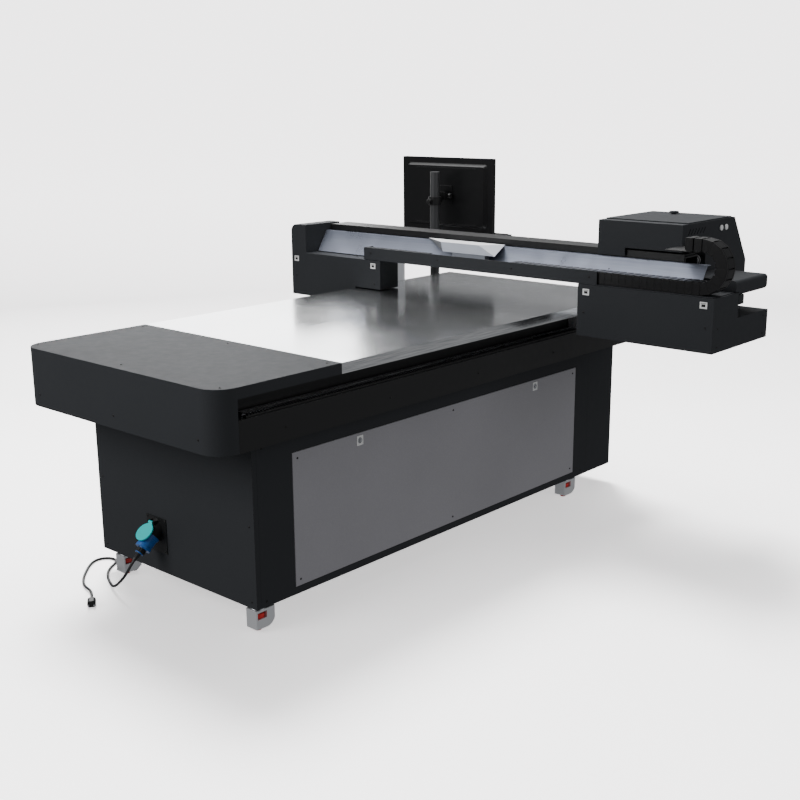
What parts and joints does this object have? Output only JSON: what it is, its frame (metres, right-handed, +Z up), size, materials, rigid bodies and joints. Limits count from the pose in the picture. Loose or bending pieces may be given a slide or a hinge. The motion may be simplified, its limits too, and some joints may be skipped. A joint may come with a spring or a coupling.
{
  "type": "flatbed uv printer",
  "caption": "Flatbed UV printer: vacuum table on a cabinet, moving gantry with print carriage and cable chain, monitor on a pole, levelling castors and mains lead.",
  "frame": {"origin": "centre of the floor rectangle that the machine covers, at floor height, with the mains lead left out", "axes": "+X to the machine's right, where the carriage parks; +Y to the back, where the operator station stands; +Z up"},
  "size_m": [2.322, 2.8113, 1.46],
  "materials": {
    "frame_black": "satin powder coat",
    "cover_charcoal": "fine-textured powder coat",
    "panel_grey": "satin paint",
    "slope_grey": "satin paint",
    "platen_aluminium": "satin, perforated",
    "bare_steel": "ground",
    "castor_silver": "die cast",
    "castor_red": "moulded",
    "black_plastic": "moulded",
    "black_gloss": "moulded",
    "chain_black": "moulded nylon",
    "belt_rubber": "toothed belt",
    "lid_cyan": "moulded",
    "connector_blue": "moulded",
    "cord_black": "sheath",
    "electronics_green": "coated"
  },
  "bodies": {
    "base": {"base_frame": "frame_black", "front_panel": "cover_charcoal", "rear_panel": "cover_charcoal", "side_panel_right": "cover_charcoal", "side_panel_left": "cover_charcoal", "electronics_plate": "electronics_green", "vacuum_blower": "bare_steel", "platen": "platen_aluminium", "apron": "cover_charcoal", "front_cover": "cover_charcoal", "side_rail_right": "frame_black", "side_rail_left": "frame_black", "linear_guides": "bare_steel", "inlet": "black_plastic", "pole": "cover_charcoal", "connector": "connector_blue", "cord": "cord_black", "mains_plug": "cord_black"},
    "service_door": {"service_panel": "panel_grey"},
    "latch_knob_front": {"latch_front": "bare_steel"},
    "latch_knob_back": {"latch_back": "bare_steel"},
    "lid": {"inlet_lid": "lid_cyan"},
    "gantry": {"beam": "frame_black", "left_housing": "cover_charcoal", "right_housing": "cover_charcoal", "beam_front_cover": "cover_charcoal", "slope_sheet": "slope_grey", "saddle_cover": "slope_grey", "rail_cover": "frame_black", "rear_shelf": "cover_charcoal", "carriage_guide": "bare_steel", "drive_belt": "belt_rubber", "truck_plates": "castor_silver", "cap_tray": "black_plastic", "chain_lower_run": "chain_black"},
    "drive_wheel": {"drive_pulley": "castor_silver"},
    "idler_wheel": {"idler_pulley": "castor_silver"},
    "bend": {"chain_bend": "chain_black"},
    "carriage": {"carriage_frame": "frame_black", "carriage_cover": "cover_charcoal", "chain_upper_run": "chain_black"},
    "top_lid": {"carriage_lid": "cover_charcoal"},
    "heads": {"head_plate": "frame_black", "print_heads": "black_plastic"},
    "screen_arm": {"monitor_arm": "black_plastic"},
    "screen": {"monitor": "black_gloss"},
    "key_shelf": {"keyboard_shelf": "castor_silver", "keyboard": "black_plastic"},
    "swivel_front_right": {"castor_front_right_housing": "castor_silver"},
    "wheel_front_right": {"castor_front_right_wheel": "black_plastic"},
    "pad_front_right": {"castor_front_right_adjuster": "castor_red"},
    "swivel_back_right": {"castor_back_right_housing": "castor_silver"},
    "wheel_back_right": {"castor_back_right_wheel": "black_plastic"},
    "pad_back_right": {"castor_back_right_adjuster": "castor_red"},
    "swivel_front_left": {"castor_front_left_housing": "castor_silver"},
    "wheel_front_left": {"castor_front_left_wheel": "black_plastic"},
    "pad_front_left": {"castor_front_left_adjuster": "castor_red"},
    "swivel_back_left": {"castor_back_left_housing": "castor_silver"},
    "wheel_back_left": {"castor_back_left_wheel": "black_plastic"},
    "pad_back_left": {"castor_back_left_adjuster": "castor_red"}
  },
  "joints": [
    {"name": "gantry_travel", "type": "slide", "parent": "base", "child": "gantry", "axis": [0, -1, 0], "range_m": [0, 1.6]},
    {"name": "carriage_travel", "type": "slide", "parent": "gantry", "child": "carriage", "axis": [-1, 0, 0], "range_m": [0, 1.525]},
    {"name": "chain_roll", "type": "slide", "parent": "gantry", "child": "bend", "axis": [-1, 0, 0], "range_m": [0, 0.7625], "deforming": ["chain_lower_run", "chain_upper_run"]},
    {"name": "drive_spin", "type": "hinge", "parent": "gantry", "child": "drive_wheel", "pos_m": [0.88, 0.65, 1.13], "axis": [0, 1, 0], "continuous": true},
    {"name": "idler_spin", "type": "hinge", "parent": "gantry", "child": "idler_wheel", "pos_m": [-1.005, 0.65, 1.13], "axis": [0, 1, 0], "continuous": true},
    {"name": "head_lift", "type": "slide", "parent": "carriage", "child": "heads", "axis": [0, 0, -1], "range_m": [0, 0.045]},
    {"name": "top_lid_hinge", "type": "hinge", "parent": "carriage", "child": "top_lid", "pos_m": [0.7065, 0.565, 1.2825], "axis": [1, 0, 0], "range_deg": [0, 75]},
    {"name": "service_hinge", "type": "hinge", "parent": "base", "child": "service_door", "pos_m": [0.297, -0.13, 0.114], "axis": [0, 1, 0], "range_deg": [0, 20]},
    {"name": "latch_front_turn", "type": "hinge", "parent": "service_door", "child": "latch_knob_front", "pos_m": [0.297, -0.656, 0.571], "axis": [1, 0, 0], "range_deg": [0, 90]},
    {"name": "latch_back_turn", "type": "hinge", "parent": "service_door", "child": "latch_knob_back", "pos_m": [0.297, 0.416, 0.571], "axis": [1, 0, 0], "range_deg": [0, 90]},
    {"name": "lid_hinge", "type": "hinge", "parent": "base", "child": "lid", "pos_m": [-0.24, -1.18995, 0.28078], "axis": [-1, 0, 0], "range_deg": [0, 100]},
    {"name": "swivel_front_right_turn", "type": "hinge", "parent": "base", "child": "swivel_front_right", "pos_m": [0.264, -1.133, 0.09], "axis": [0, 0, 1], "continuous": true},
    {"name": "wheel_front_right_roll", "type": "hinge", "parent": "swivel_front_right", "child": "wheel_front_right", "pos_m": [0.264, -1.104, 0.02], "axis": [1, 0, 0], "continuous": true},
    {"name": "pad_front_right_lift", "type": "slide", "parent": "swivel_front_right", "child": "pad_front_right", "axis": [0, 0, 1], "range_m": [0, 0.008]},
    {"name": "swivel_back_right_turn", "type": "hinge", "parent": "base", "child": "swivel_back_right", "pos_m": [0.264, 0.705, 0.09], "axis": [0, 0, 1], "continuous": true},
    {"name": "wheel_back_right_roll", "type": "hinge", "parent": "swivel_back_right", "child": "wheel_back_right", "pos_m": [0.264, 0.734, 0.02], "axis": [1, 0, 0], "continuous": true},
    {"name": "pad_back_right_lift", "type": "slide", "parent": "swivel_back_right", "child": "pad_back_right", "axis": [0, 0, 1], "range_m": [0, 0.008]},
    {"name": "swivel_front_left_turn", "type": "hinge", "parent": "base", "child": "swivel_front_left", "pos_m": [-0.49, -1.133, 0.09], "axis": [0, 0, 1], "continuous": true},
    {"name": "wheel_front_left_roll", "type": "hinge", "parent": "swivel_front_left", "child": "wheel_front_left", "pos_m": [-0.49, -1.104, 0.02], "axis": [1, 0, 0], "continuous": true},
    {"name": "pad_front_left_lift", "type": "slide", "parent": "swivel_front_left", "child": "pad_front_left", "axis": [0, 0, 1], "range_m": [0, 0.008]},
    {"name": "swivel_back_left_turn", "type": "hinge", "parent": "base", "child": "swivel_back_left", "pos_m": [-0.49, 0.705, 0.09], "axis": [0, 0, 1], "continuous": true},
    {"name": "wheel_back_left_roll", "type": "hinge", "parent": "swivel_back_left", "child": "wheel_back_left", "pos_m": [-0.49, 0.734, 0.02], "axis": [1, 0, 0], "continuous": true},
    {"name": "pad_back_left_lift", "type": "slide", "parent": "swivel_back_left", "child": "pad_back_left", "axis": [0, 0, 1], "range_m": [0, 0.008]},
    {"name": "screen_swivel", "type": "hinge", "parent": "base", "child": "screen_arm", "pos_m": [-0.845, 1.11, 1.246], "axis": [0, 0, 1], "range_deg": [-25, 25]},
    {"name": "screen_tilt", "type": "hinge", "parent": "screen_arm", "child": "screen", "pos_m": [-0.855, 1.186, 1.268], "axis": [1, 0, 0], "range_deg": [0, 20]},
    {"name": "shelf_swivel", "type": "hinge", "parent": "base", "child": "key_shelf", "pos_m": [-0.845, 1.11, 1.047], "axis": [0, 0, 1], "range_deg": [0, 25]}
  ],
  "couplings": [
    {"joint": "chain_roll", "follows": "carriage_travel", "ratio": 0.5},
    {"joint": "drive_spin", "follows": "carriage_travel", "rad_per_m": -47.393},
    {"joint": "idler_spin", "follows": "carriage_travel", "rad_per_m": -47.393}
  ]
}
